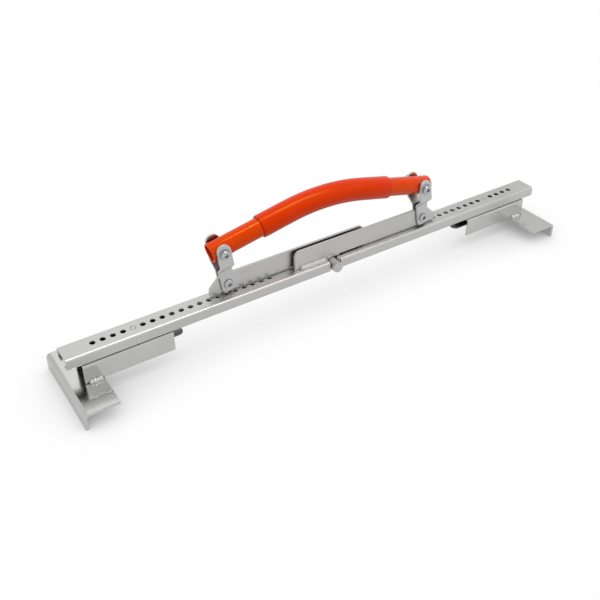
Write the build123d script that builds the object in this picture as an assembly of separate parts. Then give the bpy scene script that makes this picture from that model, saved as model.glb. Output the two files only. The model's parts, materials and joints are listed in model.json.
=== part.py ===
from build123d import *
import math
import os

# Slab lifter, sizes in millimetres.
# X runs along the rails, the viewer's side is -Y, Z is up and the floor is Z = 0.
# The left half is built first. The right half is the same parts turned half round the Z axis.

# Hole row in the rails
hole_pitch = 10
hole_count = 20
hole_diameter = 5.6
hole_end_margin = 30
pin_hole_index = 4

# Rails, bent from strip into a channel with inward lips
rail_reach = 295
rail_width = 25
rail_height = 12
rail_wall = 2
rail_slot = 11
rail_top_bend = 3
rail_lip_bend = 2.4

# Jaws, sliders and runners
jaw_length = 102
jaw_flange = 35
jaw_overhang = 3
jaw_drop = 17.5
jaw_thickness = 3
jaw_inner_bend = 2
slider_end_inset = 14
slider_length = 91
slider_height = 21.5
slider_wall = 2
slider_inner_bend = 1.5
runner_length = 40
runner_head_height = 5
rivet_spacing = 26
rivet_diameter = 4
rivet_head_diameter = 7
rivet_head_height = 1.6
jaw_weld_size = 4.5
jaw_weld_length = 14
jaw_weld_inset = 1

# Spring plunger that locks a jaw in the hole row
pin_diameter = 5
pin_travel = 2.8
pin_below_top = 0.1
collar_diameter = 8
collar_height = 1.2
housing_diameter = 12
housing_wall = 1.5
housing_lip = 1.2
spring_wire = 0.8
spring_pressed = 2.2
tongue_width = 12
tongue_thickness = 2
tongue_reach = 49
tongue_tail = 8
tongue_corner = 2
clip_diameter = 9
clip_height = 1.6

# Lever bars, their welds and the centre pivot
bar_thickness = 3
bar_spacing = 3.6
bar_height = 21.8
bar_end_margin = 19.6
bar_inner_end = 46.5
bar_chamfer = 12.5
bar_corner = 7
lug_radius = 10
pivot_below_top = 6
pivot_diameter = 12
pivot_length = 35
spacer_diameter = 18
lever_bolt_x = 122.4
lever_bolt_up = 11.3
lever_weld_size = 4.4
lever_weld_start = 8.2
lever_weld_length = 32
pin_weld_size = 1.8
pin_weld_length = 4.5
pin_weld_inset = 1.5

# Links, bolts and nuts
link_length = 41.5
link_width = 15
link_thickness = 2.5
link_top_margin = 10.6
link_low_margin = 8.6
link_low_corner = 4
link_joggle_start = 18
link_joggle_angle = 45
link_bend = 2
link_lean = 8.4
bolt_diameter = 6
bolt_head_diameter = 10
bolt_head_height = 2.6
bolt_head_round = 2
socket_flats = 4
socket_depth = 1.8
bolt_end = 0.8
nut_flats = 10
nut_height = 4.4
nut_collar_diameter = 8.6
nut_collar_height = 1.6
washer_diameter = 12
washer_thickness = 1

# Handle tube and grip
tube_diameter = 20
tube_wall = 1.5
tube_end_margin = 10
tube_bend_radius = 205
tube_bend_angle = 12.5
grip_diameter = 24
grip_half_length = 77

# Clearances
slide_gap = 0.3
runner_side = 0.4
spacer_side = 0.3
bar_lift = 1.6
slot_side = 0.6
notch_clear = 2.5
pin_end_gap = 0.7
loose_pivot = 0.5
running_fit = 0.1
held_fit = 0.05
link_side = 0.4
collar_gap = 0.1
spring_side = 0.3
tongue_gap = 0.5

# Levels and stations worked out from the sizes above
flange_top = jaw_drop
slider_top = flange_top + slider_height
rail_bottom = slider_top + slide_gap
rail_top = rail_bottom + rail_height
web_under = slider_top - slider_wall
pivot_z = rail_top - pivot_below_top
lever_bolt_z = rail_top + lever_bolt_up
rail_inner_x = pivot_diameter / 2 + pin_end_gap
pin_x = -(rail_reach - hole_end_margin - pin_hole_index * hole_pitch)
bar_outer_end = lever_bolt_x + bar_end_margin
bar_face = bar_spacing / 2 + bar_thickness
bar_middle = (bar_spacing + bar_thickness) / 2
tube_half_length = lever_bolt_x + tube_end_margin
slider_outer_x = slider_end_inset - rail_reach
jaw_outer_x = -(rail_reach + jaw_overhang)
jaw_weld_x = jaw_outer_x + jaw_flange - jaw_weld_inset
tube_face = tube_diameter / 2 + link_side
lean = math.radians(link_lean)
handle_x = -link_length * math.sin(lean)
handle_bolt_z = lever_bolt_z + link_length * math.cos(lean)
handle_turn = math.degrees(math.atan2(bar_middle, lever_bolt_x))
rivet_stations = (pin_x - rivet_spacing / 2, pin_x + rivet_spacing / 2)
runner_top = rail_bottom + rail_wall + slide_gap + runner_head_height
collar_under = web_under - collar_gap - collar_height
housing_height = web_under - collar_under + pin_travel + spring_pressed + housing_lip
tongue_under = web_under - housing_height - tongue_gap - tongue_thickness


def block(x0, x1, y0, y1, z0, z1):
    """A box given by its limits."""
    centre = Pos((x0 + x1) / 2, (y0 + y1) / 2, (z0 + z1) / 2)
    return centre * Box(x1 - x0, y1 - y0, z1 - z0)


def upright(x, radius, z0, z1):
    """A round bar standing on the rail's centre line."""
    return Pos(x, 0, (z0 + z1) / 2) * Cylinder(radius, z1 - z0)


def across(x, z, radius, y0, y1):
    """A round bar lying across the rails."""
    return Pos(x, (y0 + y1) / 2, z) * Rot(90, 0, 0) * Cylinder(radius, y1 - y0)


def turned(shape):
    """The same piece on the other half of the tool."""
    return Rot(0, 0, 180) * shape


def channel(width, height, wall, outer_bend, inner_bend):
    """Section of a channel that is open below, its top edge on the sketch's X axis."""
    outer = Pos(0, -height / 2) * Rectangle(width, height)
    outer = fillet(outer.vertices().group_by(Axis.Y)[-1], outer_bend)
    inner = Pos(0, -(height + wall) / 2) * Rectangle(width - 2 * wall, height - wall)
    inner = fillet(inner.vertices().group_by(Axis.Y)[-1], inner_bend)
    return outer - inner


def nearest(face, u, v):
    """The corner of a sketch that lies closest to a point."""
    point = Vector(u, v, 0)
    return face.vertices().sort_by(lambda corner: (Vector(corner) - point).length)[0]


def along_x(section, x0, x1, z):
    """A section in the YZ plane drawn out along the rail at height z."""
    section = Pos(x0, 0, z) * (Plane.YZ * section)
    return extrude(section, x1 - x0, dir=(1, 0, 0))


def bead(x0, x1, y, z, size, side):
    """A rounded weld bead in the corner at y and z, on the given side of the upright face."""
    run = Pos((x0 + x1) / 2, y, z) * Rot(0, 90, 0) * Cylinder(size, x1 - x0 - 2 * size)
    for end in (x0 + size, x1 - size):
        run += Pos(end, y, z) * Sphere(size)
    near, far = sorted((y, y + side * size))
    return run & block(x0, x1, near, far, z, z + size)


def make_rail():
    section = channel(rail_width, rail_height, rail_wall, rail_top_bend, rail_top_bend - rail_wall)
    lip = (rail_width - rail_slot) / 2
    for side in (-1, 1):
        middle = side * (rail_width - lip) / 2
        section += Pos(middle, -rail_height + rail_wall / 2) * Rectangle(lip, rail_wall)
    bottom = section.vertices().group_by(Axis.Y)[0].sort_by(Axis.X)
    section = fillet([bottom[0], bottom[-1]], rail_lip_bend)
    rail = along_x(section, -rail_reach, -rail_inner_x, rail_top)
    first = hole_end_margin - rail_reach
    web = rail_top - rail_wall
    rail -= [
        upright(first + index * hole_pitch, hole_diameter / 2, web, rail_top)
        for index in range(hole_count)
    ]
    notch_x = -(lug_radius + notch_clear)
    notch_y = bar_face + slot_side
    rail -= block(notch_x, -rail_inner_x, -notch_y, notch_y, web, rail_top)
    return rail


def make_lever_bar(pivot_hole_radius):
    """The near lever bar: its foot on the left rail, its long end above the right rail."""
    outline = Polyline(
        (-bar_inner_end, 0),
        (lug_radius, 0),
        (lug_radius, bar_lift),
        (bar_outer_end, bar_lift),
        (bar_outer_end, bar_height - bar_chamfer),
        (bar_outer_end - bar_chamfer, bar_height),
        (-bar_inner_end, bar_height),
        close=True,
    )
    face = make_face(outline)
    corner = face.vertices().group_by(Axis.Y)[-1].sort_by(Axis.X)[0]
    face = fillet(corner, bar_corner)
    pivot = Pos(0, -pivot_below_top)
    face += Pos(0, -pivot_below_top / 2) * Rectangle(2 * lug_radius, pivot_below_top)
    face += pivot * Circle(lug_radius)
    face -= pivot * Circle(pivot_hole_radius)
    face -= Pos(lever_bolt_x, lever_bolt_up) * Circle(bolt_diameter / 2 + running_fit)
    face = Pos(0, -bar_spacing / 2, rail_top) * (Plane.XZ * face)
    return extrude(face, bar_thickness, dir=(0, -1, 0))


def make_link(side):
    """A joggled link plate about its lower bolt. side is -1 for the near plate, 1 for the far."""
    low_face = bar_thickness / 2 + link_side
    high_face = tube_face
    rise = (high_face - low_face) / math.tan(math.radians(link_joggle_angle))
    shift = link_thickness * math.tan(math.radians(link_joggle_angle) / 2)
    top = link_length + link_top_margin
    start = link_joggle_start
    inside = [(low_face, start), (high_face, start + rise)]
    outside = [(y + link_thickness, z - shift) for y, z in inside]
    points = [(low_face, -link_low_margin)] + inside + [(high_face, top)]
    points += [(high_face + link_thickness, top)] + outside[::-1]
    points += [(low_face + link_thickness, -link_low_margin)]
    face = make_face(Polyline(*[(side * y, z) for y, z in points], close=True))
    wide_bend = link_bend + link_thickness
    bends = [(outside[0], link_bend), (inside[1], link_bend)]
    bends += [(inside[0], wide_bend), (outside[1], wide_bend)]
    for (y, z), radius in bends:
        face = fillet(nearest(face, side * y, z), radius)
    strip = along_x(face, -link_width / 2, link_width / 2, 0)
    round_z = top - link_width / 2
    outline = Pos(0, (round_z - link_low_margin) / 2) * Rectangle(link_width, round_z + link_low_margin)
    outline = fillet(outline.vertices().group_by(Axis.Y)[0], link_low_corner)
    outline += Pos(0, round_z) * Circle(link_width / 2)
    strip &= extrude(Plane.XZ * outline, tube_diameter, both=True)
    for height in (0, link_length):
        strip -= across(0, height, bolt_diameter / 2 + held_fit, -tube_diameter, tube_diameter)
    return strip


def hexagon(flats, height):
    """A hexagon prism lying along Y, from Y = 0 towards +Y."""
    face = Plane.ZX * RegularPolygon(flats / 2, 6, major_radius=False)
    return extrude(face, height, dir=(0, 1, 0))


def make_bolt(near_face, far_face):
    """A button-head bolt along Y with its head on the near face."""
    head_top = near_face - bolt_head_height
    head = across(0, 0, bolt_head_diameter / 2, head_top, near_face)
    head = fillet(head.edges().group_by(Axis.Y)[0], bolt_head_round)
    head -= Pos(0, head_top, 0) * hexagon(socket_flats, socket_depth)
    tip = far_face + nut_height + nut_collar_height + bolt_end
    return head + across(0, 0, bolt_diameter / 2, near_face, tip)


def make_nut(face):
    """A lock nut standing on a face that looks to +Y."""
    nut = Pos(0, face, 0) * hexagon(nut_flats, nut_height)
    collar_face = face + nut_height
    nut += across(0, 0, nut_collar_diameter / 2, collar_face, collar_face + nut_collar_height)
    return nut - across(0, 0, bolt_diameter / 2 + held_fit, face, collar_face + nut_collar_height)


def make_washer(face):
    """A washer lying from a face towards +Y."""
    ring = across(0, 0, washer_diameter / 2, face, face + washer_thickness)
    return ring - across(0, 0, bolt_diameter / 2 + held_fit, face, face + washer_thickness)


def bent_bar(radius, half_length):
    """A round bar on the handle's centre line, turned to meet both pairs of links."""
    angle = math.radians(tube_bend_angle)
    bend_x = tube_bend_radius * math.sin(angle)
    bend_z = (lever_bolt_x - bend_x) * math.tan(angle)
    apex = bend_z + tube_bend_radius * (1 - math.cos(angle))
    end_z = bend_z - (half_length - bend_x) * math.tan(angle)
    left = Line((-half_length, 0, end_z), (-bend_x, 0, bend_z))
    arch = ThreePointArc((-bend_x, 0, bend_z), (0, 0, apex), (bend_x, 0, bend_z))
    right = Line((bend_x, 0, bend_z), (half_length, 0, end_z))
    path = left + arch + right
    section = Plane(origin=left @ 0, z_dir=left % 0) * Circle(radius)
    return Pos(handle_x, 0, handle_bolt_z) * Rot(0, 0, -handle_turn) * sweep(section, path=path)


nodes = {}

# Handle
tube = bent_bar(tube_diameter / 2, tube_half_length)
tube -= bent_bar(tube_diameter / 2 - tube_wall, tube_half_length)
for side in (-1, 1):
    hole_x = handle_x + side * lever_bolt_x
    hole_radius = bolt_diameter / 2 + running_fit
    tube -= across(hole_x, handle_bolt_z, hole_radius, -tube_diameter, tube_diameter)
nodes["handle_tube"] = tube
grip = bent_bar(grip_diameter / 2, grip_half_length)
grip -= bent_bar(tube_diameter / 2 + held_fit, grip_half_length)
nodes["handle_grip"] = grip

# Links with their bolts. The left pair holds the far lever bar, the right pair the near one.
for name, side in (("left", -1), ("right", 1)):
    middle = -side * bar_middle
    lower = Pos(side * lever_bolt_x, middle, lever_bolt_z)
    upper = Pos(handle_x + side * lever_bolt_x, middle, handle_bolt_z)
    leaning = lower * Rot(0, -link_lean, 0)
    nodes[name + "_link_front"] = leaning * make_link(-1)
    nodes[name + "_link_rear"] = leaning * make_link(1)
    low_face = bar_thickness / 2 + link_side + link_thickness
    high_face = tube_face + link_thickness
    nodes[name + "_lever_bolt"] = lower * make_bolt(-low_face, low_face)
    nodes[name + "_lever_nut"] = lower * make_nut(low_face)
    washer_face = high_face + washer_thickness
    nodes[name + "_handle_bolt"] = upper * make_bolt(-washer_face, washer_face)
    nodes[name + "_handle_nut"] = upper * make_nut(washer_face)
    nodes[name + "_washer_front"] = upper * make_washer(-washer_face)
    nodes[name + "_washer_rear"] = upper * make_washer(high_face)

# Rails with their lever bars, and the pivot pin that the right arm carries
nodes["left_rail"] = make_rail()
nodes["right_rail"] = turned(nodes["left_rail"])
nodes["front_lever_bar"] = make_lever_bar(pivot_diameter / 2 + loose_pivot)
nodes["rear_lever_bar"] = turned(make_lever_bar(pivot_diameter / 2 + held_fit))
weld_x = -lever_weld_start
front_weld = bead(weld_x - lever_weld_length, weld_x, -bar_face, rail_top, lever_weld_size, -1)
nodes["front_lever_weld"] = front_weld
nodes["rear_lever_weld"] = turned(front_weld)
pivot_pin = across(0, pivot_z, pivot_diameter / 2, -pivot_length / 2, pivot_length / 2)
nodes["pivot_pin"] = pivot_pin
spacer_end = bar_spacing / 2 - spacer_side
spacer = across(0, pivot_z, spacer_diameter / 2, -spacer_end, spacer_end)
spacer_bore = across(0, pivot_z, pivot_diameter / 2 + held_fit, -spacer_end, spacer_end)
nodes["pivot_spacer"] = spacer - spacer_bore
pin_weld_y = pin_weld_inset - rail_width / 2
pin_weld_end = pin_weld_y + pin_weld_length
pin_weld_z = rail_top - pin_weld_size
pin_weld = across(rail_inner_x, pin_weld_z, pin_weld_size, pin_weld_y, pin_weld_end)
nodes["pivot_pin_weld"] = pin_weld - nodes["right_rail"] - pivot_pin


def make_slider():
    bend = slider_inner_bend + slider_wall
    section = channel(rail_width, slider_height, slider_wall, bend, slider_inner_bend)
    slider = along_x(section, slider_outer_x, slider_outer_x + slider_length, slider_top)
    slider -= upright(pin_x, pin_diameter / 2 + running_fit, web_under, slider_top)
    for x in rivet_stations:
        slider -= upright(x, rivet_diameter / 2 + held_fit, web_under, slider_top)
    return slider


def make_jaw():
    flange = Pos(jaw_flange / 2, -jaw_thickness / 2) * Rectangle(jaw_flange, jaw_thickness)
    face = flange + Pos(jaw_thickness / 2, -jaw_drop / 2) * Rectangle(jaw_thickness, jaw_drop)
    face = fillet(nearest(face, jaw_thickness, -jaw_thickness), jaw_inner_bend)
    face = fillet(nearest(face, 0, 0), jaw_inner_bend + jaw_thickness)
    face = Pos(jaw_outer_x, 0, flange_top) * (Plane.XZ * face)
    return extrude(face, jaw_length / 2, both=True)


def make_runner():
    """A T-shaped block that hangs the slider on the rail's lips."""
    inner_width = rail_width - 2 * rail_wall
    head_under = rail_bottom + rail_wall + slide_gap
    half_head = inner_width / 2 - runner_side
    half_neck = rail_slot / 2 - runner_side
    x0 = pin_x - runner_length / 2
    x1 = pin_x + runner_length / 2
    runner = block(x0, x1, -half_head, half_head, head_under, runner_top)
    runner += block(x0, x1, -half_neck, half_neck, slider_top, head_under)
    runner -= upright(pin_x, pin_diameter / 2 + running_fit, slider_top, runner_top)
    for x in rivet_stations:
        runner -= upright(x, rivet_diameter / 2 + held_fit, slider_top, runner_top)
        sunk = runner_top - rivet_head_height
        runner -= upright(x, rivet_head_diameter / 2 + held_fit, sunk, runner_top)
    return runner


def make_rivet(x):
    """A rivet through runner and slider web, its upper head sunk flush."""
    head = rivet_head_diameter / 2
    rivet = upright(x, rivet_diameter / 2, web_under, runner_top)
    rivet += upright(x, head, runner_top - rivet_head_height, runner_top)
    return rivet + upright(x, head, web_under - rivet_head_height, web_under)


def make_housing():
    base = web_under - housing_height
    housing = upright(pin_x, housing_diameter / 2, base, web_under)
    housing -= upright(pin_x, housing_diameter / 2 - housing_wall, base + housing_lip, web_under)
    return housing - upright(pin_x, pin_diameter / 2 + running_fit, base, base + housing_lip)


def make_spring():
    """The plunger spring, a plain sleeve because the housing hides it."""
    outer = housing_diameter / 2 - housing_wall - spring_side
    base = web_under - housing_height + housing_lip
    sleeve = upright(pin_x, outer, base, collar_under)
    return sleeve - upright(pin_x, outer - spring_wire, base, collar_under)


def make_locating_pin():
    pin = upright(pin_x, pin_diameter / 2, tongue_under - clip_height, rail_top - pin_below_top)
    return pin + upright(pin_x, collar_diameter / 2, collar_under, collar_under + collar_height)


def make_tongue():
    """The flat tongue that a finger pulls down, past the slider's inner end."""
    length = tongue_tail + tongue_reach
    plate = Pos((tongue_reach - tongue_tail) / 2, 0) * Rectangle(length, tongue_width)
    ends = plate.vertices().group_by(Axis.X)
    plate = fillet(ends[0], tongue_corner)
    tip = plate.vertices().group_by(Axis.X)[-1]
    plate = fillet(tip, tongue_width / 2 - held_fit)
    plate -= Circle(pin_diameter / 2 + held_fit)
    return extrude(Pos(pin_x, 0, tongue_under) * plate, tongue_thickness, dir=(0, 0, 1))


def make_clip():
    ring = upright(pin_x, clip_diameter / 2, tongue_under - clip_height, tongue_under)
    bore = upright(pin_x, pin_diameter / 2 + held_fit, tongue_under - clip_height, tongue_under)
    return ring - bore


# Jaws with sliders, runners and plungers
half_slider = rail_width / 2
left_parts = {
    "slider": make_slider(),
    "jaw": make_jaw(),
    "runner": make_runner(),
    "plunger_housing": make_housing(),
    "plunger_spring": make_spring(),
    "locating_pin": make_locating_pin(),
    "release_tongue": make_tongue(),
    "tongue_clip": make_clip(),
    "rivet_outer": make_rivet(rivet_stations[0]),
    "rivet_inner": make_rivet(rivet_stations[1]),
}
for label, side in (("jaw_weld_front", -1), ("jaw_weld_rear", 1)):
    start = jaw_weld_x - jaw_weld_length
    left_parts[label] = bead(
        start, jaw_weld_x, side * half_slider, flange_top, jaw_weld_size, side
    )
opposite = {"jaw_weld_front": "jaw_weld_rear", "jaw_weld_rear": "jaw_weld_front"}
for label, part in left_parts.items():
    nodes["left_" + label] = part
    nodes["right_" + opposite.get(label, label)] = turned(part)

os.makedirs("parts", exist_ok=True)
for name, part in nodes.items():
    export_step(part, "parts/" + name + ".step")
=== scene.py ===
# %% [markdown]
# # A slab lifter, dressed for its picture
# The tool picks up paving slabs. Two rails of zinc-plated channel meet at a centre pin.
# A lever bar on each rail crosses over to the other side, and an orange tube handle carries
# both bars on four joggled links. Lifting the handle draws the two jaws together.
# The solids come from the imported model, and this script gives them edges, welds and finishes.
# Lengths are in metres, or in millimetres where a name ends in mm.

# %% Load the frame
import bpy
import json
import math
import random
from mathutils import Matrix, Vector


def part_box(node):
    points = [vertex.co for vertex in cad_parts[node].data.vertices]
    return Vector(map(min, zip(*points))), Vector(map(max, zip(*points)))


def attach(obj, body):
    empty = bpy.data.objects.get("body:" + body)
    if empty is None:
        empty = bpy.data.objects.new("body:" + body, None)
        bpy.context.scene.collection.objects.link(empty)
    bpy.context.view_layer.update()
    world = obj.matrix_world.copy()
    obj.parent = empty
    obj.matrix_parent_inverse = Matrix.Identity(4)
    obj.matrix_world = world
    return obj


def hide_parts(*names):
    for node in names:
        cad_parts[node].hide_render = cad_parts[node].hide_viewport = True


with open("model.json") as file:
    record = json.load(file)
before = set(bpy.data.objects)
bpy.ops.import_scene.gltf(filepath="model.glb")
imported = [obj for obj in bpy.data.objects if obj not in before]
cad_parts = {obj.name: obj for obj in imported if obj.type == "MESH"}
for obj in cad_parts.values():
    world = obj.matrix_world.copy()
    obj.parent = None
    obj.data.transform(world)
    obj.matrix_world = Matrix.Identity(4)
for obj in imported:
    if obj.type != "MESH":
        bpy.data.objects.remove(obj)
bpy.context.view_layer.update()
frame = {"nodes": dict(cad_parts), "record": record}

# %% [markdown]
# ## Colours and nodes
# Colours are given as screen values, and a shader works in linear light, so one function
# turns a hex value to linear. A second one adds a node with its settings, values and links,
# which keeps a long node tree short to read. A texture's scale counts its cells in a metre,
# so a third one works it out from a real size.

# %% Colour and node functions
MM = 0.001


def linear(hex_value):
    """An sRGB hex colour as linear RGBA, by the sRGB standard's own curve."""
    channels = [int(hex_value[i : i + 2], 16) / 255 for i in (1, 3, 5)]
    curve = [c / 12.92 if c <= 0.04045 else ((c + 0.055) / 1.055) ** 2.4 for c in channels]
    return (*curve, 1.0)


def add(tree, kind, links=(), sockets=(), **settings):
    """Adds a node, with settings, socket values and links of (input, node, output)."""
    node = tree.nodes.new(kind)
    for key, value in settings.items():
        setattr(node, key, value)
    for socket, value in dict(sockets).items():
        node.inputs[socket].default_value = value
    for socket, source, output in links:
        tree.links.new(source.outputs[output], node.inputs[socket])
    return node


def new_material(name, **sockets):
    """A material with a plain shader whose constant values are set on its own sockets."""
    material = bpy.data.materials.new(name)
    material.use_nodes = True
    tree = material.node_tree
    shader = tree.nodes["Principled BSDF"]
    for socket, value in sockets.items():
        shader.inputs[socket.replace("_", " ")].default_value = value
    return material, tree, shader


def per_mm(size_mm):
    """The texture scale at which one pattern cell is this many millimetres."""
    return 1 / (size_mm * MM)


print("screen grey #808080 is", round(linear("#808080")[0], 3), "in linear light")

# %% [markdown]
# ## Bright zinc plate
# The rails, bars, links and jaws are cold-rolled steel with an electroplated zinc coat.
# It is a bright metal that still mirrors what stands close to it. The plating leaves slow
# cloudy changes in tone and gloss over a few centimetres, and the rolling leaves faint long
# lines. One even grey would look like plastic, so both come from noise. The noise for the
# lines is stretched along the strip.
#
# Seams, narrow gaps and the insides of channels get painted shade. Two ambient occlusion
# nodes find these places: one looks a few millimetres far for seams, the other a channel's
# width far for insides. Both darken the plate's colour there to nearly black.

# %% Zinc plate
# Painted shade: the colour that seams and channel insides are darkened to.
PAINTED_SHADE = "#141413"
SEAM_MM, SEAM_FADE = 2.0, 0.36
INSIDE_MM, INSIDE_FADE = 22.0, 0.27
# Noise seldom goes past these two values, so patterns are spread between them.
NOISE_LOW, NOISE_HIGH = 0.3, 0.7
ALONG_STRIP = (0.02, 1.0, 1.0)
GRAIN_DEPTH_MM, GRAIN_STRENGTH = 0.04, 0.12
# A Mix node has sockets for each kind of data. These are the ones for colours.
COLOUR_A, COLOUR_B, COLOUR_OUT = 6, 7, 2


def zinc_plate(name, dark, light, smooth, rough, cloud_mm, grain_mm, shut_inside, shut_seam):
    """Plate that goes from dark and smooth to light and rough, with painted shade where it is
    shut in.
    """
    material, tree, shader = new_material(name, Metallic=1.0)
    place = add(tree, "ShaderNodeTexCoord")
    cloud = add(
        tree, "ShaderNodeTexNoise", [("Vector", place, "Object")],
        {"Scale": per_mm(cloud_mm), "Detail": 4.0, "Roughness": 0.55},
    )
    tone = add(tree, "ShaderNodeValToRGB", [("Fac", cloud, "Fac")])
    first, last = tone.color_ramp.elements
    first.position, first.color = NOISE_LOW, linear(dark)
    last.position, last.color = NOISE_HIGH, linear(light)
    gloss = add(
        tree, "ShaderNodeMapRange", [("Value", cloud, "Fac")],
        {"From Min": NOISE_LOW, "From Max": NOISE_HIGH, "To Min": smooth, "To Max": rough},
    )
    tree.links.new(gloss.outputs["Result"], shader.inputs["Roughness"])
    openness = []
    for reach_mm, shut, fade in (
        (SEAM_MM, shut_seam, SEAM_FADE), (INSIDE_MM, shut_inside, INSIDE_FADE)
    ):
        walls = add(
            tree, "ShaderNodeAmbientOcclusion", sockets={"Distance": reach_mm * MM}, samples=8
        )
        openness.append(add(
            tree, "ShaderNodeMapRange", [("Value", walls, "AO")],
            {"From Min": shut, "From Max": shut + fade},
        ))
    # Painted shade: where the occlusion masks close, the base colour turns nearly black.
    unshaded = add(
        tree, "ShaderNodeMath", [(0, openness[0], "Result"), (1, openness[1], "Result")],
        operation="MULTIPLY",
    )
    with_painted_shade = add(
        tree, "ShaderNodeMix", [(0, unshaded, "Value"), (COLOUR_B, tone, "Color")],
        {COLOUR_A: linear(PAINTED_SHADE)}, data_type="RGBA",
    )
    tree.links.new(with_painted_shade.outputs[COLOUR_OUT], shader.inputs["Base Color"])
    stretch = add(
        tree, "ShaderNodeMapping", [("Vector", place, "Object")], {"Scale": ALONG_STRIP}
    )
    grain = add(
        tree, "ShaderNodeTexNoise", [("Vector", stretch, "Vector")],
        {"Scale": per_mm(grain_mm), "Detail": 3.0},
    )
    bump = add(
        tree, "ShaderNodeBump", [("Height", grain, "Fac")],
        {"Strength": GRAIN_STRENGTH, "Distance": GRAIN_DEPTH_MM * MM},
    )
    tree.links.new(bump.outputs["Normal"], shader.inputs["Normal"])
    return material


# %% [markdown]
# ## Three kinds of plate
# The strip of the rails, bars and links is the dullest of the three: the zinc sits on a
# rolled skin, and its tops and sides show broad, soft light. The sheet of the sliders and
# jaws is smoother, so the parts above it show in it as blurred lines. Bolts, nuts and
# washers have a thin bluish coat with the clouds of small parts. The rolling lines of the
# real strip are finer than half a millimetre. They are drawn that wide so that they show.

# %% Strip, sheet and fasteners
zinc = zinc_plate(
    "zinc plate on rolled strip", "#D8D8D7", "#DFDFDE", smooth=0.37, rough=0.45,
    cloud_mm=45, grain_mm=0.5, shut_inside=0.1, shut_seam=0.34,
)
sheet_zinc = zinc_plate(
    "zinc plate on sheet", "#D8D8D7", "#DFDFDE", smooth=0.13, rough=0.19,
    cloud_mm=30, grain_mm=0.5, shut_inside=0.22, shut_seam=0.45,
)
hardware = zinc_plate(
    "blue zinc on fasteners", "#C6C9CD", "#D5D7DA", smooth=0.2, rough=0.28,
    cloud_mm=6, grain_mm=0.4, shut_inside=0.1, shut_seam=0.34,
)
print("metals", zinc.name, sheet_zinc.name, hardware.name)

# %% [markdown]
# ## Plated weld
# A weld bead is a row of frozen puddles. Plated over, it stays bright but is rougher than
# the strip, with a fine crust, so it scatters the light and looks paler than the plates.
# One fine noise gives both, because the same crust makes the gloss and the relief.

# %% Weld metal
CRUST_MM, CRUST_DEPTH_MM, CRUST_STRENGTH = 1.2, 0.2, 0.5
CRUST_SMOOTH, CRUST_ROUGH = 0.5, 0.64
weld_metal, tree, shader = new_material(
    "plated weld bead", Metallic=1.0, Base_Color=linear("#DEDEDC")
)
place = add(tree, "ShaderNodeTexCoord")
crust = add(
    tree, "ShaderNodeTexNoise", [("Vector", place, "Object")],
    {"Scale": per_mm(CRUST_MM), "Detail": 5.0},
)
gloss = add(
    tree, "ShaderNodeMapRange", [("Value", crust, "Fac")],
    {
        "From Min": NOISE_LOW, "From Max": NOISE_HIGH,
        "To Min": CRUST_SMOOTH, "To Max": CRUST_ROUGH,
    },
)
tree.links.new(gloss.outputs["Result"], shader.inputs["Roughness"])
bump = add(
    tree, "ShaderNodeBump", [("Height", crust, "Fac")],
    {"Strength": CRUST_STRENGTH, "Distance": CRUST_DEPTH_MM * MM},
)
tree.links.new(bump.outputs["Normal"], shader.inputs["Normal"])
print("weld", weld_metal.name)

# %% [markdown]
# ## Orange enamel, orange grip and black oxide
# The tube is stove-enamelled steel: a full colour under a clear gloss, with the slight
# waviness of sprayed paint. The grip is a soft PVC sleeve of a redder orange with a duller
# shine. The release tongues are steel with a thin black oxide, a dark metal that turns mid
# grey where it mirrors the paper. All three are a thin skin over steel, so one function
# makes them. An occlusion node paints shade into the skin's colour where walls close in on
# it, as inside the tube.

# %% Coats
WALLED, CLEAR_OF_WALLS = 0.25, 0.7
RIPPLE_STRENGTH = 0.3


def coated(name, dark, light, shade_colour, reach_mm, patch_mm, ripple_mm, ripple_depth_mm, **sockets):
    """A wavy skin of two close tones, with painted shade in a dark colour where it is walled in.
    """
    material, tree, shader = new_material(name, **sockets)
    place = add(tree, "ShaderNodeTexCoord")
    patch = add(
        tree, "ShaderNodeTexNoise", [("Vector", place, "Object")],
        {"Scale": per_mm(patch_mm), "Detail": 3.0},
    )
    tone = add(tree, "ShaderNodeValToRGB", [("Fac", patch, "Fac")])
    first, last = tone.color_ramp.elements
    first.position, first.color = NOISE_LOW, linear(dark)
    last.position, last.color = NOISE_HIGH, linear(light)
    walls = add(
        tree, "ShaderNodeAmbientOcclusion", sockets={"Distance": reach_mm * MM}, samples=8
    )
    openness = add(
        tree, "ShaderNodeMapRange", [("Value", walls, "AO")],
        {"From Min": WALLED, "From Max": CLEAR_OF_WALLS},
    )
    # Painted shade: the dark colour is mixed into the skin where walls close in.
    shaded = add(
        tree, "ShaderNodeMix", [(0, openness, "Result"), (COLOUR_B, tone, "Color")],
        {COLOUR_A: linear(shade_colour)}, data_type="RGBA",
    )
    tree.links.new(shaded.outputs[COLOUR_OUT], shader.inputs["Base Color"])
    ripple = add(
        tree, "ShaderNodeTexNoise", [("Vector", place, "Object")],
        {"Scale": per_mm(ripple_mm), "Detail": 2.0},
    )
    bump = add(
        tree, "ShaderNodeBump", [("Height", ripple, "Fac")],
        {"Strength": RIPPLE_STRENGTH, "Distance": ripple_depth_mm * MM},
    )
    tree.links.new(bump.outputs["Normal"], shader.inputs["Normal"])
    return material


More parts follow.
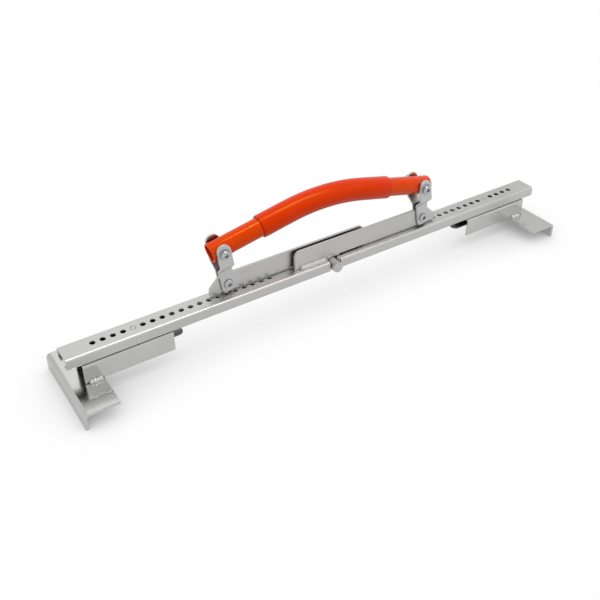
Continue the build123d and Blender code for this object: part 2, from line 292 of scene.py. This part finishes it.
# Pigment right under the gloss warms the highlights, so they turn light orange, not pink.
warm = linear("#FFC650")
orange_enamel = coated(
    "orange stove enamel", "#EE3400", "#F43A00", "#380800",
    reach_mm=16, patch_mm=30, ripple_mm=2.5, ripple_depth_mm=0.06,
    Roughness=0.2, IOR=1.5, Specular_IOR_Level=0.85, Specular_Tint=warm,
)
orange_sleeve = coated(
    "orange PVC sleeve", "#E82800", "#EE2E00", "#401000",
    reach_mm=4, patch_mm=25, ripple_mm=1.0, ripple_depth_mm=0.04,
    Roughness=0.27, IOR=1.46, Specular_IOR_Level=0.75, Specular_Tint=warm,
)
black_coat = coated(
    "black oxide on steel", "#747473", "#808080", "#0A0A0A",
    reach_mm=4, patch_mm=12, ripple_mm=0.8, ripple_depth_mm=0.05,
    Metallic=1.0, Roughness=0.3,
)
print("coats", orange_enamel.name, orange_sleeve.name, black_coat.name)

# %% [markdown]
# ## One piece at a time
# Operators act on whatever is selected, so each step first makes one object the only
# selected one. A finished piece gets its material, rides on the body of the CAD node that it
# stands for, and replaces that node.

# %% Helpers for pieces
body_of_node = {
    node: body
    for body, members in frame["record"]["behaviour"]["bodies"].items()
    for node in members
}


def only(piece):
    """Leaves one object selected and active."""
    bpy.ops.object.select_all(action="DESELECT")
    piece.select_set(True)
    bpy.context.view_layer.objects.active = piece


def apply_modifier(piece, kind, **settings):
    """Adds one modifier, sets it and applies it."""
    only(piece)
    modifier = piece.modifiers.new(kind.title(), kind)
    for key, value in settings.items():
        setattr(modifier, key, value)
    bpy.ops.object.modifier_apply(modifier=modifier.name)


def edit(piece):
    """Opens a piece in edit mode with all of it selected."""
    only(piece)
    bpy.ops.object.mode_set(mode="EDIT")
    bpy.ops.mesh.select_all(action="SELECT")


def object_mode():
    """Closes edit mode."""
    bpy.ops.object.mode_set(mode="OBJECT")


def finish_piece(piece, node, material):
    """Puts a finished piece in the place of its CAD node."""
    piece.data.materials.clear()
    piece.data.materials.append(material)
    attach(piece, body_of_node[node])
    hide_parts(node)


print("nodes with a body", len(body_of_node))

# %% [markdown]
# ## Plates with eased edges
# Sheared and plated strip never has a knife edge, and the thin bright line along each edge
# is what makes it read as metal. A copy of each CAD node is merged, cleaned of the
# triangles' inner edges, bevelled by a fraction of a millimetre and given weighted normals,
# which keep the flats flat. Modelling the plates again would only risk other sizes.

# %% Ease the edges of a copy
MERGE_MM = 0.001
FLAT_DEG, CORNER_DEG, SMOOTH_DEG = 0.5, 40, 35


def eased_copy(node, name, edge_mm):
    """A copy of a CAD node with its edges bevelled by this much."""
    piece = bpy.data.objects.new(name, frame["nodes"][node].data.copy())
    bpy.context.scene.collection.objects.link(piece)
    only(piece)
    bpy.ops.mesh.customdata_custom_splitnormals_clear()
    edit(piece)
    bpy.ops.mesh.remove_doubles(threshold=MERGE_MM * MM)
    bpy.ops.mesh.dissolve_limited(angle_limit=math.radians(FLAT_DEG))
    object_mode()
    apply_modifier(
        piece, "BEVEL", width=edge_mm * MM, segments=2, limit_method="ANGLE",
        angle_limit=math.radians(CORNER_DEG), use_clamp_overlap=False,
    )
    bpy.ops.object.shade_smooth_by_angle(angle=math.radians(SMOOTH_DEG))
    apply_modifier(piece, "WEIGHTED_NORMAL", keep_sharp=True)
    return piece


# %% [markdown]
# ## Rails, bars, links, jaws and fasteners
# Thick strip and the tongues have the widest edges. Sheet and fasteners have finer ones, and
# the locating pins, which lie flush in their holes, the finest.

# %% Ease plates and fasteners
SIDES = ("left", "right")
strip = ["left_rail", "right_rail", "front_lever_bar", "rear_lever_bar", "pivot_pin"]
strip += [side + end for side in SIDES for end in ("_link_front", "_link_rear")]
sheet = [side + end for side in SIDES for end in ("_slider", "_jaw")]
bolt_parts = (
    "_handle_bolt", "_lever_bolt", "_handle_nut", "_lever_nut",
    "_washer_front", "_washer_rear",
)
fasteners = ["pivot_spacer"] + [side + end for side in SIDES for end in bolt_parts]
pins = [side + "_locating_pin" for side in SIDES]
tongues = [side + "_release_tongue" for side in SIDES]
for nodes, ending, edge_mm, finish, slot in (
    (strip, "_plated", 0.3, zinc, "zinc_plate"),
    (sheet, "_plated", 0.2, sheet_zinc, "zinc_plate"),
    (fasteners, "_bright", 0.2, hardware, "bright_hardware"),
    (pins, "_plated", 0.12, zinc, "zinc_plate"),
    (tongues, "_coated", 0.4, black_coat, "black_coat"),
):
    for node in nodes:
        finish_piece(eased_copy(node, node + ending, edge_mm), node, finish)
    print(finish.name, "on", len(nodes), "pieces with edges of", edge_mm, "mm")

# %% [markdown]
# ## Pieces that stay as they are
# Runners, rivets, housings, springs and clips sit inside the rails and sliders. Their CAD
# shapes are right, so they only get a finish, through their own material slots.

# %% Inner pieces
inner_finish = {
    "_runner": zinc, "_rivet_outer": hardware, "_rivet_inner": hardware,
    "_plunger_housing": hardware, "_plunger_spring": hardware, "_tongue_clip": hardware,
}
for side in SIDES:
    for end, finish in inner_finish.items():
        for material_slot in frame["nodes"][side + end].material_slots:
            material_slot.material = finish
print("inner pieces", len(SIDES) * len(inner_finish))

# %% [markdown]
# ## Handle tube and grip
# The tube is bent once, wide and shallow, and the sleeve follows it: straight, a bend,
# straight again. A bevelled curve could do it, but it has no wall and rough ends. So a circle
# is extruded along the first straight, spun about the centre of the bend and extruded once
# more. Solidify gives the wall, and a small bevel rounds the cut ends. The upper bolts give
# the height and the direction of the handle.

# %% Find the handle's line
BEND_DEG, BEND_MM = 12.5, 205.0
left_low, left_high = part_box("left_handle_bolt")
right_low, right_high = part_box("right_handle_bolt")
left_bolt, right_bolt = (left_low + left_high) / 2, (right_low + right_high) / 2
along = (right_bolt - left_bolt).normalized()
across = Vector((-along.y, along.x, 0))
upward = Vector((0, 0, 1))
bolt_reach = (right_bolt - left_bolt).length / 2
handle_middle = Vector(((left_bolt.x + right_bolt.x) / 2, 0, left_bolt.z))
print("handle bolts", round(2 * bolt_reach / MM, 1), "mm apart")

# %% [markdown]
# ## Bending it
# The slope of the straights and the radius of the bend fix where each straight ends. The
# knee is where the first one turns into the bend.

# %% Bend the tube and the sleeve
RING_CORNERS, BEND_STEPS = 72, 30
END_CORNER_DEG, TUBE_SMOOTH_DEG = 50, 40


def bent_sleeve(name, radius_mm, wall_mm, half_mm, round_mm):
    """An open bent tube of this outer radius, wall and half length along the handle."""
    slope = math.radians(BEND_DEG)
    bend_reach = BEND_MM * MM * math.sin(slope)
    run = (half_mm * MM - bend_reach) / math.cos(slope)
    climb = along * math.cos(slope) + upward * math.sin(slope)
    fall = along * math.cos(slope) - upward * math.sin(slope)
    rise = (bolt_reach - bend_reach) * math.tan(slope)
    knee = handle_middle - along * bend_reach + upward * rise
    centre = knee + along * bend_reach - upward * BEND_MM * MM * math.cos(slope)
    bpy.ops.object.select_all(action="DESELECT")
    bpy.ops.mesh.primitive_circle_add(
        vertices=RING_CORNERS, radius=radius_mm * MM, location=knee - climb * run,
        rotation=climb.to_track_quat("Z", "Y").to_euler(),
    )
    piece = bpy.context.active_object
    piece.name = piece.data.name = name
    bpy.ops.object.transform_apply(location=True, rotation=True, scale=True)
    edit(piece)
    bpy.ops.mesh.extrude_region_move(TRANSFORM_OT_translate={"value": climb * run})
    bpy.ops.mesh.spin(steps=BEND_STEPS, angle=-2 * slope, center=centre, axis=across)
    bpy.ops.mesh.extrude_region_move(TRANSFORM_OT_translate={"value": fall * run})
    bpy.ops.mesh.select_all(action="SELECT")
    bpy.ops.mesh.remove_doubles(threshold=MERGE_MM * MM)
    bpy.ops.mesh.normals_make_consistent(inside=False)
    object_mode()
    apply_modifier(piece, "SOLIDIFY", thickness=wall_mm * MM, offset=-1.0)
    apply_modifier(
        piece, "BEVEL", width=round_mm * MM, segments=3, limit_method="ANGLE",
        angle_limit=math.radians(END_CORNER_DEG),
    )
    bpy.ops.object.shade_smooth_by_angle(angle=math.radians(TUBE_SMOOTH_DEG))
    print(name, "straights", round(run / MM, 1), "mm, faces", len(piece.data.polygons))
    return piece


tube = bent_sleeve(
    "handle_tube_enamelled", radius_mm=10, wall_mm=1.5, half_mm=132.4, round_mm=0.3
)
finish_piece(tube, "handle_tube", orange_enamel)
sleeve = bent_sleeve("handle_grip_sleeve", radius_mm=12, wall_mm=1.9, half_mm=77, round_mm=0.6)
finish_piece(sleeve, "handle_grip", orange_sleeve)

# %% [markdown]
# ## Weld beads
# A hand-laid bead is a row of overlapping puddles of slightly different size. A bumpy
# material on a plain rod wouldn't change its outline, so squashed spheres stand for the
# puddles. They are joined, remeshed into one skin and smoothed.

# %% Lay a row of puddles
PUDDLE_SEED = 11
puddle_draws = random.Random(PUDDLE_SEED)
# The size of a puddle as a share of the bead's height, and how far in the end ones sit.
PUDDLE_SHARE, END_SHARE = 0.97, 0.62
SQUASH_ALONG, SQUASH_UP = 0.8, (0.9, 1.0)
DRIFT = (-0.05, 0.08)
SKIN_MM = 0.3


def laid_puddles(node, low, size, corner_y, outward, pitch_mm, least_swell, smoothing):
    """One skin over a row of puddles along the corner of two plates."""
    radius = size.z * PUDDLE_SHARE
    reach = radius * END_SHARE
    steps = max(2, round((size.x - radius) / (pitch_mm * MM)))
    bpy.ops.object.select_all(action="DESELECT")
    lumps = []
    for step in range(steps + 1):
        swell = radius * puddle_draws.uniform(least_swell, 1.0)
        x = low.x + reach + (size.x - 2 * reach) * step / steps
        bpy.ops.mesh.primitive_uv_sphere_add(
            segments=24, ring_count=16, radius=swell,
            location=(
                x, corner_y + outward * puddle_draws.uniform(*DRIFT) * radius, low.z
            ),
            scale=(SQUASH_ALONG, 1.0, puddle_draws.uniform(*SQUASH_UP)),
        )
        lumps.append(bpy.context.active_object)
    bead = lumps[0]
    only(bead)
    for lump in lumps:
        lump.select_set(True)
    bpy.ops.object.join()
    bead.name = bead.data.name = node + "_bead"
    bpy.ops.object.transform_apply(location=True, rotation=True, scale=True)
    apply_modifier(bead, "REMESH", mode="VOXEL", voxel_size=SKIN_MM * MM)
    apply_modifier(bead, "SMOOTH", factor=0.5, iterations=smoothing)
    print(node, "puddles", steps + 1)
    return bead


# %% [markdown]
# ## Cutting the beads to their corners
# A bead fills the corner of two plates, so only the part on the open side of both may stay.
# Bisect would leave a cut to fill, and its fill can leave gaps in the mesh. A Boolean with
# a box on the open side closes the cut by itself. The two long lever welds are even and
# smooth. The short jaw welds are coarse, and a dab of weld holds the centre pin.

# %% Make the welds
BEAD_SMOOTH_DEG = 60


def weld_bead(node, pitch_mm, least_swell, smoothing):
    """A lumpy bead along the longest side of its CAD node's box."""
    low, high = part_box(node)
    size = high - low
    outward = -1 if (low.y + high.y) / 2 < 0 else 1
    corner_y = high.y if outward < 0 else low.y
    bead = laid_puddles(
        node, low, size, corner_y, outward, pitch_mm, least_swell, smoothing
    )
    span = 2 * size.x
    bpy.ops.object.select_all(action="DESELECT")
    bpy.ops.mesh.primitive_cube_add(
        size=span,
        location=((low.x + high.x) / 2, corner_y + outward * span / 2, low.z + span / 2),
    )
    open_side = bpy.context.active_object
    apply_modifier(bead, "BOOLEAN", operation="INTERSECT", solver="EXACT", object=open_side)
    bpy.data.objects.remove(open_side)
    bpy.ops.object.shade_smooth_by_angle(angle=math.radians(BEAD_SMOOTH_DEG))
    finish_piece(bead, node, weld_metal)


for node in ("front_lever_weld", "rear_lever_weld"):
    weld_bead(node, pitch_mm=2.4, least_swell=0.94, smoothing=10)
for side in SIDES:
    for end in ("_jaw_weld_front", "_jaw_weld_rear"):
        weld_bead(side + end, pitch_mm=3.2, least_swell=0.7, smoothing=3)
pin_weld = eased_copy("pivot_pin_weld", "pivot_pin_weld_bead", edge_mm=0.3)
finish_piece(pin_weld, "pivot_pin_weld", weld_metal)

# %% [markdown]
# ## Camera
# The photograph was taken from the front left, a good step away and half above the tool.
# Its vanishing points give the lens, the two angles and a small shift of the frame. Solved
# in pixels of a 600-pixel frame, they only have to be turned into Blender's own units.

# %% Place the camera
AZIMUTH_DEG, ELEVATION_DEG = -33.75, 32.696
FOCAL_PX, AXIS_X_PX, AXIS_Y_PX, FRAME_PX = 822.691, 314.0, 250.0, 600
CAMERA_AT = (-0.423767, -0.604748, 0.532039)
azimuth, elevation = math.radians(AZIMUTH_DEG), math.radians(ELEVATION_DEG)
back = Vector((
    math.sin(azimuth) * math.cos(elevation),
    -math.cos(azimuth) * math.cos(elevation),
    math.sin(elevation),
))
lens = bpy.data.cameras.new("studio camera")
camera = bpy.data.objects.new("studio camera", lens)
bpy.context.scene.collection.objects.link(camera)
camera.location = CAMERA_AT
camera.rotation_mode = "QUATERNION"
camera.rotation_quaternion = (-back).to_track_quat("-Z", "Y")
lens.sensor_width = 36.0
lens.lens = FOCAL_PX / FRAME_PX * lens.sensor_width
lens.shift_x = (FRAME_PX / 2 - AXIS_X_PX) / FRAME_PX
lens.shift_y = (AXIS_Y_PX - FRAME_PX / 2) / FRAME_PX
lens.clip_start, lens.clip_end = 0.01, 50
bpy.context.scene.camera = camera
print("lens", round(lens.lens, 2), "mm")

# %% [markdown]
# ## Paper floor
# The tool stands on white paper. When its handle lifts, the arms fold down below the plane
# it stood on, and solid paper would hide the jaws. So the camera looks through the paper at
# the white sky and sees only its soft shade, which an ambient occlusion node finds. Light
# and reflections still meet the paper as a solid white sheet. In the metal's reflections its
# white grows with the distance from the tool, which gives the plates their slow gradients.

# %% What light and metal meet
FLOOR_SIZE, FLOOR_DROP_MM = 8, 0.2
MIRROR_SHARE = 0.4
NEAR_TOOL, FAR_FROM_TOOL = 0.25, 1.0
NEAR_WHITE, FAR_WHITE = 0.66, 0.8
bpy.ops.object.select_all(action="DESELECT")
bpy.ops.mesh.primitive_plane_add(size=FLOOR_SIZE, location=(0, 0, -FLOOR_DROP_MM * MM))
floor = bpy.context.active_object
floor.name = "paper_floor"
paper, tree, shader = new_material(
    "white paper", Roughness=0.9, Base_Color=linear("#B2B2B2"),
    Emission_Color=linear("#FFFFFF"),
)
rays = add(tree, "ShaderNodeLightPath")
mirrored = add(
    tree, "ShaderNodeMath", [(0, rays, "Is Glossy Ray")], {1: MIRROR_SHARE},
    operation="MULTIPLY",
)
place = add(tree, "ShaderNodeTexCoord")
away = add(tree, "ShaderNodeVectorMath", [(0, place, "Object")], operation="LENGTH")
lift = add(
    tree, "ShaderNodeMapRange", [("Value", away, "Value")],
    {
        "From Min": NEAR_TOOL, "From Max": FAR_FROM_TOOL,
        "To Min": NEAR_WHITE, "To Max": FAR_WHITE,
    },
)
glow = add(
    tree, "ShaderNodeMath", [(0, mirrored, "Value"), (1, lift, "Result")],
    operation="MULTIPLY",
)
tree.links.new(glow.outputs["Value"], shader.inputs["Emission Strength"])
print("floor", paper.name, FLOOR_SIZE, "m wide")

# %% [markdown]
# ## The paper's shade
# The occlusion node counts how much of the sky the tool covers from a spot on the paper.
# A power keeps the shade close to the parts that touch the paper, and the depth keeps it grey.
# The result colours a see-through shader, which only camera rays meet.

# %% What the camera sees
SHADE_MM, SHADE_POWER, SHADE_DEPTH = 65, 1.3, 0.8
roofed = add(
    tree, "ShaderNodeAmbientOcclusion", sockets={"Distance": SHADE_MM * MM}, samples=16
)
cover = add(tree, "ShaderNodeMath", [(1, roofed, "AO")], {0: 1.0}, operation="SUBTRACT")
near = add(
    tree, "ShaderNodeMath", [(0, cover, "Value")], {1: SHADE_POWER}, operation="POWER"
)
shade = add(
    tree, "ShaderNodeMath", [(0, near, "Value")], {1: -SHADE_DEPTH, 2: 1.0},
    operation="MULTIPLY_ADD", use_clamp=True,
)
veil = add(tree, "ShaderNodeBsdfTransparent", [("Color", shade, "Value")])
sheet_or_veil = add(
    tree, "ShaderNodeMixShader",
    [(0, rays, "Is Camera Ray"), (1, shader, "BSDF"), (2, veil, "BSDF")],
)
tree.links.new(
    sheet_or_veil.outputs["Shader"], tree.nodes["Material Output"].inputs["Surface"]
)
floor.data.materials.append(paper)
# The metals' occlusion nodes count only what stops a shadow ray, and paper is no wall to them.
floor.visible_shadow = False
print("shade reaches", SHADE_MM, "mm")

# %% [markdown]
# ## White sky
# The sky is pure white to the camera, as the photograph's background is. Light from it is
# weaker, so that colours render about as they are written, and a little weaker again in the
# metal, so that zinc reads grey on white. The Light Path node tells these rays apart. The
# Standard view keeps written colours as they are.

# %% Sky
FILL, IN_METAL = 0.69, 0.66
bpy.context.scene.view_settings.view_transform = "Standard"
world = bpy.data.worlds.new("studio sky")
bpy.context.scene.world = world
world.use_nodes = True
tree = world.node_tree
sky = tree.nodes["Background"]
sky.inputs["Color"].default_value = linear("#FFFFFF")
rays = add(tree, "ShaderNodeLightPath")
seen = add(
    tree, "ShaderNodeMath", [(0, rays, "Is Camera Ray"), (1, rays, "Is Transmission Ray")],
    operation="ADD", use_clamp=True,
)
lit = add(
    tree, "ShaderNodeMath", [(0, rays, "Is Glossy Ray")], {1: IN_METAL - FILL, 2: FILL},
    operation="MULTIPLY_ADD",
)
level = add(
    tree, "ShaderNodeMath", [(0, seen, "Value"), (2, lit, "Value")], {1: 1 - FILL},
    operation="MULTIPLY_ADD",
)
tree.links.new(level.outputs["Value"], sky.inputs["Strength"])
print("sky fill", FILL, "and in metal", IN_METAL)

# %% [markdown]
# ## Lamps
# A long strip box above lights the tops of the rails and the handle's upper side. The
# camera sees a square softbox at the back mirrored in those tops, which brightens them, and
# one at the front right rounds the tube and the bolt heads. All are large, so no shadow has
# a hard edge.

# %% Softboxes
ON_TOOL = (0, 0, 0.05)


def softbox(name, place, aim, width, length, power):
    """A rectangular lamp at a place, turned to what it aims at."""
    lamp = bpy.data.lights.new(name, "AREA")
    lamp.shape = "RECTANGLE"
    lamp.size, lamp.size_y = width, length
    lamp.energy = power
    holder = bpy.data.objects.new(name, lamp)
    bpy.context.scene.collection.objects.link(holder)
    holder.location = place
    holder.rotation_mode = "QUATERNION"
    holder.rotation_quaternion = (Vector(aim) - Vector(place)).to_track_quat("-Z", "Y")
    print(name, power, "W")


softbox("overhead strip box", (0.2, -0.25, 2.1), (0, -0.15, 0), width=0.3, length=1.4, power=10.6)
softbox("rear softbox", (0.27, 1.3, 1.06), ON_TOOL, width=0.9, length=0.9, power=0.68)
softbox("front softbox", (0.66, -0.81, 0.98), ON_TOOL, width=0.85, length=0.85, power=0.7)
